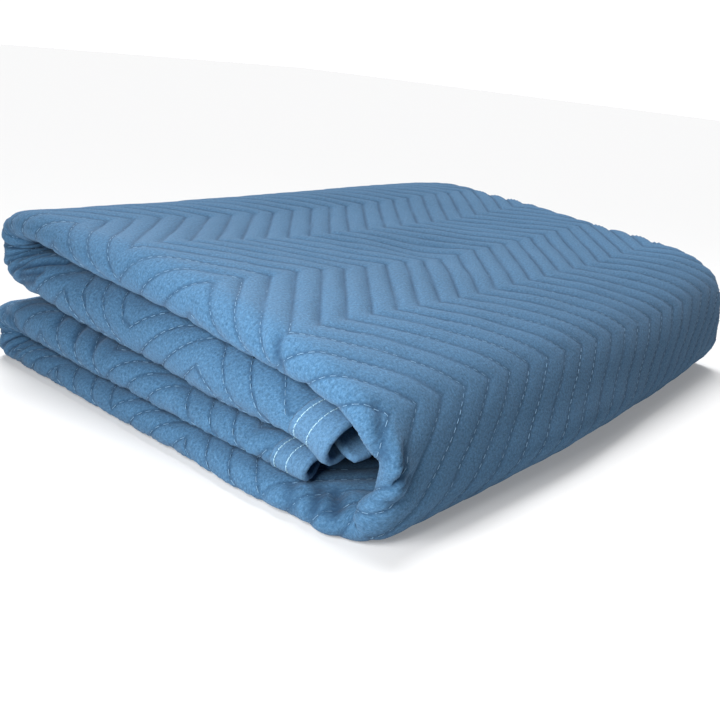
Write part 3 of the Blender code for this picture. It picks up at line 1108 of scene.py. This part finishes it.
@dataclass
class EdgeBinding:
    """Strip of cloth folded over the blanket's edge and sewn down in two rows.

    The places of its rows are distances in from the edge, and a dip is a depth and a reach.
    """

    fold: FoldedCloth
    reach: float = 1.25
    lift: float = 3.45
    thickness: float = 0.45
    rows: Span = (27.5, 15.5)
    row_dip: Span = (0.75, 1.4)
    cut_dip: Span = (0.5, 1.2)
    edge_drop: float = 0.35
    edge_slope: float = 9.0
    turn_start: float = 1.8
    pucker: float = 0.12
    step: float = 6.0

    def profile(self) -> Array:
        """Section of the binding, once round: distance in from the edge, and height.

        Returns:
            Rows of distance and height over the middle of the blanket.
        """
        width = self.fold.flat.binding_width
        inward = np.array([width, width - 1.0, *np.linspace(width - 2.5, 2.0, 13)])
        crown = self.lift - self.edge_drop * (1.0 - ease(inward, 0.0, self.edge_slope))
        for place, (depth, reach) in zip((*self.rows, width),
                                         (self.row_dip, self.row_dip, self.cut_dip)):
            crown -= depth * np.exp(-((inward - place) / reach) ** 2)
        turn = np.linspace(0.5 * math.pi, -0.5 * math.pi, 7)
        round_reach = self.reach + self.turn_start
        edge_in = self.turn_start - round_reach * np.cos(turn)
        edge = np.stack([edge_in, crown[-1] * np.sin(turn)], 1)
        top = np.stack([inward, crown], 1)
        under = top[::-1] * (1.0, -1.0)
        outside = np.concatenate([top, edge[1:-1], under])
        lining = outside[::-1].copy()
        scale = 1.0 - self.thickness / self.lift
        lining[:, 1] *= scale
        lining[:, 0] = np.maximum(lining[:, 0], self.turn_start - round_reach * scale)
        return np.concatenate([outside, lining[1:-1], outside[:1]])

    def ring(self, inward: Array) -> Array:
        """Flat places once round the blanket at some distances in from its edge.

        Args:
            inward: distances in from the edge, one for each column.

        Returns:
            s and c, a row for each station of the ring and a column for each distance.
        """
        flat = self.fold.flat
        low_s = flat.upper_hem + inward
        high_s = flat.lower_hem - inward
        low_c = flat.tucked_hem + inward
        high_c = flat.inner_hem - inward
        corners = np.array([(low_s, low_c), (low_s, high_c), (high_s, high_c), (high_s, low_c)])
        walk = []
        for k, size in enumerate((flat.width, flat.length, flat.width, flat.length)):
            count = round(size / self.step)
            share = np.arange(count)[:, None, None] / count
            walk.append(corners[k] + (corners[(k + 1) % 4] - corners[k]) * share)
        return np.moveaxis(np.concatenate([*walk, walk[0][:1]]), 1, 0)

    def build(self) -> bpy.types.Object:
        """Builds the binding as a closed thin channel round the edge.

        Returns:
            The binding's object.
        """
        profile = self.profile()
        s, c = self.ring(profile[:, 0])
        points, normals = self.fold.surface(s, c)
        height = np.broadcast_to(profile[:, 1], s.shape)
        pucker = self.pucker * waves(s, c, 26.0, 2.0) * (np.abs(height) > 1.0)
        shape = points + normals * (height + np.sign(height) * pucker)[..., None]
        shape[..., 2] = np.maximum(shape[..., 2], LEAST_Z)
        shape[-1] = shape[0]
        shape[:, -1] = shape[:, 0]
        return MeshMaker.grid("edge_binding_cloth", shape, np.stack([c, s + 3.0], -1))

    def dress(self, item: bpy.types.Object, material: bpy.types.Material) -> None:
        """Gives the binding its finish and ties it to its solid.

        Args:
            item: the binding's object.
            material: the binding's cloth.
        """
        item.data.materials.append(material)
        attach(item, "root")
        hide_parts("edge_binding")


@dataclass
class Stitching:
    """Short straight stitches of pale thread."""

    fold: FoldedCloth
    quilting: ZigzagQuilting
    cloth: QuiltedCloth
    binding: EdgeBinding
    width: float = 0.44
    length: float = 4.6
    pitch: float = 7.4
    hem_width: float = 0.75
    hem_length: float = 4.1
    hem_pitch: float = 4.6
    hem_gap: float = 5.0
    hem_sink: float = 0.5
    low_c: float = -335.0
    high_c: float = 430.0
    top_start: Span = (-330.0, -250.0)
    top_end: Span = (150.0, 240.0)
    top_side: Span = (250.0, 330.0)

    def lay(self, name: str, start: Array, end: Array, height: tuple[Array, Array],
            width: float) -> bpy.types.Object:
        """Lays one stitch between each pair of flat points.

        Args:
            name: name of the new object.
            start: s and c of each stitch's start.
            end: s and c of each stitch's end.
            height: height over the middle of the blanket at starts and ends.
            width: thickness of the thread.

        Returns:
            The object that holds all of the stitches.
        """
        first, first_up = self.fold.surface(*start)
        last, last_up = self.fold.surface(*end)
        up = unit(first_up + last_up)
        first = first + first_up * height[0][:, None]
        last = last + last_up * height[1][:, None]
        along = last - first
        beside = unit(np.cross(up, along))
        middle = (first + last) / 2.0
        axes = np.stack([along, beside * width, up * (0.9 * width)], -1)
        count = len(first)
        spacing = 10.0
        work = bmesh.new()
        bmesh.ops.create_cone(work, cap_ends=True, segments=4, radius1=0.7, radius2=0.45,
                              depth=1.0, matrix=Matrix.Rotation(0.25 * math.pi, 4, "Z"))
        made = 1
        while made < count:
            copy = bmesh.ops.duplicate(work, geom=work.verts[:] + work.edges[:] + work.faces[:])
            verts = [part for part in copy["geom"] if isinstance(part, bmesh.types.BMVert)]
            bmesh.ops.translate(work, verts=verts, vec=(made * spacing, 0.0, 0.0))
            made *= 2
        extra = [vert for vert in work.verts if vert.co.x > (count - 0.5) * spacing]
        bmesh.ops.delete(work, geom=extra, context="VERTS")
        mesh = MeshMaker.mesh(work, name)
        row = MeshMaker.points(mesh)
        which = np.rint(row[:, 0] / spacing).astype(int)
        local = row - np.stack([which * spacing, which * 0.0, which * 0.0], 1)
        laid = middle[which] + np.einsum("nij,nj->ni", axes[which], local)
        laid[:, 2] = np.maximum(laid[:, 2], LEAST_Z)
        mesh.vertices.foreach_set("co", (laid * MM).ravel())
        mesh.update()
        return show(name, mesh)

    def quilt_lines(self, low_s: float, high_s: float, name: str) -> bpy.types.Object:
        """Stitches along the zigzag lines on the cloth that shows.

        Args:
            low_s: where the stitches begin along the blanket.
            high_s: where they end.
            name: name of the new object.

        Returns:
            The stitches' object.
        """
        quilting = self.quilting
        step = self.pitch / math.hypot(1.0, quilting.slope)
        first = math.floor((quilting.origin - self.high_c - quilting.swing) / quilting.line_spacing)
        last = math.ceil((quilting.origin - self.low_c + quilting.swing) / quilting.line_spacing)
        s, number = np.meshgrid(np.arange(low_s, high_s, step), np.arange(first, last + 1))
        s = (s + 1.3 * np.sin(number * 7.1)).ravel()
        number = number.ravel()
        after = s + step * self.length / self.pitch
        c = quilting.line_at(s, number)
        c_after = quilting.line_at(after, number)
        flat = self.fold.flat
        edge = np.minimum(flat.to_edge(s, c), flat.to_edge(after, c_after))
        keep = (c > self.low_c) & (c < self.high_c) & (edge > flat.binding_width + 1.0)
        top = ease(s, *self.top_start) * (1.0 - ease(s, *self.top_end))
        top = top * (1.0 - ease(c, *self.top_side))
        # some stitches have sunk out of sight, most of them on the top
        keep &= np.sin(s * 12.9 + number * 78.2) > -0.99 + 0.75 * top
        s, c, number, after, c_after, top = np.stack((s, c, number, after, c_after, top))[:, keep]
        lift = 0.12 - 0.3 * top + 0.12 * np.sin(s * 3.7 + number * 11.3)
        height = (self.cloth.height(s, c) + lift, self.cloth.height(after, c_after) + lift)
        return self.lay(name, np.stack((s, c)), np.stack((after, c_after)), height, self.width)

    def binding_rows(self) -> bpy.types.Object:
        """The two rows of stitches that hold the binding.

        Returns:
            The stitches' object.
        """
        stitches = []
        for line in np.moveaxis(self.binding.ring(np.asarray(self.binding.rows)), -1, 0):
            run = np.concatenate([[0.0], np.cumsum(np.hypot(*np.diff(line)))])
            at = np.arange(0.0, run[-1] - self.hem_gap, self.hem_pitch)
            stitches.append([[np.interp(at + shift, run, axis) for axis in line]
                             for shift in (0.0, self.hem_length)])
        start, end = np.concatenate(stitches, -1)
        lift = np.full_like(start[0], self.binding.lift - self.hem_sink)
        return self.lay("binding_stitches", start, end, (lift, lift), self.hem_width)

    def dress(self, item: bpy.types.Object, material: bpy.types.Material, slot: str) -> None:
        """Gives stitches their finish and ties them to the blanket.

        Args:
            item: the stitches' object.
            material: the thread.
            slot: material slot of the cloth that they hold; not used.
        """
        item.data.materials.append(material)
        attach(item, "root")


@dataclass(frozen=True)
class SoftBox:
    """A square light that stands at a place and faces a target, in metres and watts."""

    name: str
    place: Triple
    target: Triple
    power: float
    size: float


@dataclass
class Studio:
    """Pale floor, soft light and the camera."""

    eye: Triple = (0.54073, -0.71774, 0.31297)
    azimuth: float = 38.95
    tilt: float = 19.55
    roll: float = -6.0
    lens: float = 43.24
    sensor: float = 36.0
    floor_size: float = 9.0
    floor_z: float = -0.0005
    floor_tone: Triple = (0.56, 0.56, 0.56)
    floor_glow: float = 0.22
    bright_side: Triple = (-0.50, 0.86, 0.05)
    bright_spread: Span = (0.62, 0.88)
    dim: Triple = (0.07, 0.07, 0.075)
    bright: Triple = (1.1, 1.11, 1.13)
    sun_side: Triple = (-0.42, 0.24, 1.0)
    sun_strength: float = 4.0
    sun_spread: float = 34.0
    boxes: tuple[SoftBox, ...] = (
        SoftBox("front", (0.23, -0.70, 0.30), (0.20, -0.32, 0.06), 4.2, 0.26),
        SoftBox("rear", (0.12, 0.50, 0.66), (0.18, 0.22, 0.15), 1.05, 0.35),
    )

    def floor(self) -> None:
        """Adds the pale floor."""
        work = bmesh.new()
        bmesh.ops.create_grid(work, x_segments=1, y_segments=1, size=self.floor_size)
        item = show("floor", MeshMaker.mesh(work, "floor"))
        item.location.z = self.floor_z
        material, bench = new_material("floor")
        bench.dress({
            "Base Color": opaque(self.floor_tone),
            "Emission Color": (1.0, 1.0, 1.0, 1.0),
            "Emission Strength": self.floor_glow,
            "Roughness": 1.0,
            "Specular IOR Level": 0.0,
        })
        item.data.materials.append(material)

    def backdrop(self) -> None:
        """Adds a backdrop that looks pale all round and lights from its bright side alone."""
        world = bpy.data.worlds.new("studio")
        world.use_nodes = True
        bench = NodeBench(world.node_tree)
        place = bench.add("ShaderNodeTexCoord", {}).outputs["Generated"]
        toward = bench.add("ShaderNodeVectorMath", {0: place, 1: self.bright_side},
                           operation="DOT_PRODUCT").outputs["Value"]
        lit = bench.level(toward, self.bright_spread, curve="SMOOTHSTEP")
        seen = bench.add("ShaderNodeLightPath", {}).outputs["Is Camera Ray"]
        share = bench.add("ShaderNodeMath", {0: lit, 1: seen}, operation="MAXIMUM")
        tone = bench.blend(share.outputs["Value"], opaque(self.dim), opaque(self.bright))
        bench.wire(bench.tree.nodes["Background"], {"Strength": 1.0, "Color": tone})
        bpy.context.scene.world = world

    def light(self) -> None:
        """Adds the sun and the soft boxes."""
        sun = bpy.data.lights.new("key", "SUN")
        sun.energy = self.sun_strength
        sun.angle = math.radians(self.sun_spread)
        self._hang(sun, Vector(self.sun_side), Vector())
        for box in self.boxes:
            data = bpy.data.lights.new(box.name, "AREA")
            data.energy = box.power
            data.size = box.size
            self._hang(data, Vector(box.place) - Vector(box.target), Vector(box.place))
        bpy.context.scene.view_settings.view_transform = "Standard"

    @staticmethod
    def _hang(data: bpy.types.Light, back: Vector, place: Vector) -> None:
        """Puts a light at a place, with its back turned to a direction."""
        turn = back.to_track_quat("Z", "Y").to_matrix().to_4x4()
        show(data.name, data).matrix_world = Matrix.Translation(place) @ turn

    def camera(self) -> None:
        """Adds the camera at its viewing angle."""
        data = bpy.data.cameras.new("camera")
        data.lens = self.lens
        data.sensor_width = self.sensor
        item = show("camera", data)
        item.matrix_world = (Matrix.Translation(self.eye)
                             @ Matrix.Rotation(math.radians(self.azimuth), 4, "Z")
                             @ Matrix.Rotation(math.radians(90.0 - self.tilt), 4, "X")
                             @ Matrix.Rotation(math.radians(-self.roll), 4, "Z"))
        bpy.context.scene.camera = item


@dataclass
class MovingBlanket:
    """The whole blanket: two cloths, the binding and the stitching."""

    fold: FoldedCloth = field(default_factory=FoldedCloth)
    quilting: ZigzagQuilting = field(default_factory=ZigzagQuilting)

    def outer_cloth(self) -> QuiltedCloth:
        """The cloth whose face shows all over the folded blanket."""
        return QuiltedCloth(
            self.fold, self.quilting, Face.OUTER, "outer_cloth",
            s_runs=((-688.0, -374.0, 12.0), (-374.0, -340.0, 3.4), (-340.0, -220.0, 2.5),
                    (-220.0, -190.0, 3.75), (-190.0, 178.0, 5.12),
                    (178.0, 454.0, 3.3), (454.0, 822.0, 7.67), (822.0, 1006.0, 4.6),
                    (1006.0, 1098.0, 5.12), (1098.0, 1338.0, 9.5)),
            c_runs=((-905.0, -830.0, 12.5), (-830.0, -380.1, 22.0), (-380.1, 4.3, 4.93),
                    (4.3, 477.4, 3.7), (477.4, 985.0, 21.0)))

    def inner_cloth(self) -> QuiltedCloth:
        """The cloth that faces the middle of the folded strip."""
        return QuiltedCloth(
            self.fold, self.quilting, Face.INNER, "inner_cloth",
            s_runs=((-688.0, 1338.0, 9.0),),
            c_runs=((-905.0, 300.0, 12.0), (300.0, 440.0, 6.0), (440.0, 985.0, 10.0)))

    def build(self) -> list[bpy.types.Object]:
        """Builds and dresses every piece of the blanket.

        Returns:
            The new objects.
        """
        felt = FELT.build()
        binding_felt = BINDING_FELT.build()
        thread = THREAD.build()
        made = []
        outer = self.outer_cloth()
        for cloth in (outer, self.inner_cloth()):
            item = cloth.build()
            cloth.dress(item, felt)
            made.append(item)
        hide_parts("quilted_panel")
        binding = EdgeBinding(self.fold)
        item = binding.build()
        binding.dress(item, binding_felt)
        made.append(item)
        stitching = Stitching(self.fold, self.quilting, outer, binding)
        for name, low, high in (("quilt_stitches_upper", -650.0, 395.0),
                                ("quilt_stitches_lower", 395.0, 1300.0)):
            item = stitching.quilt_lines(low, high, name)
            stitching.dress(item, thread, "quilted_felt")
            made.append(item)
        item = stitching.binding_rows()
        stitching.dress(item, HEM_THREAD.build(), "binding_cloth")
        made.append(item)
        return made


def main() -> None:
    """Builds the studio and the blanket, in order."""
    logging.basicConfig(level=logging.INFO, format="%(name)s: %(message)s")
    studio = Studio()
    studio.camera()
    studio.floor()
    studio.backdrop()
    studio.light()
    for item in MovingBlanket().build():
        count = sum(len(polygon.vertices) - 2 for polygon in item.data.polygons)
        LOG.info("%s: %d triangles", item.name, count)


if __name__ == "__main__":
    main()
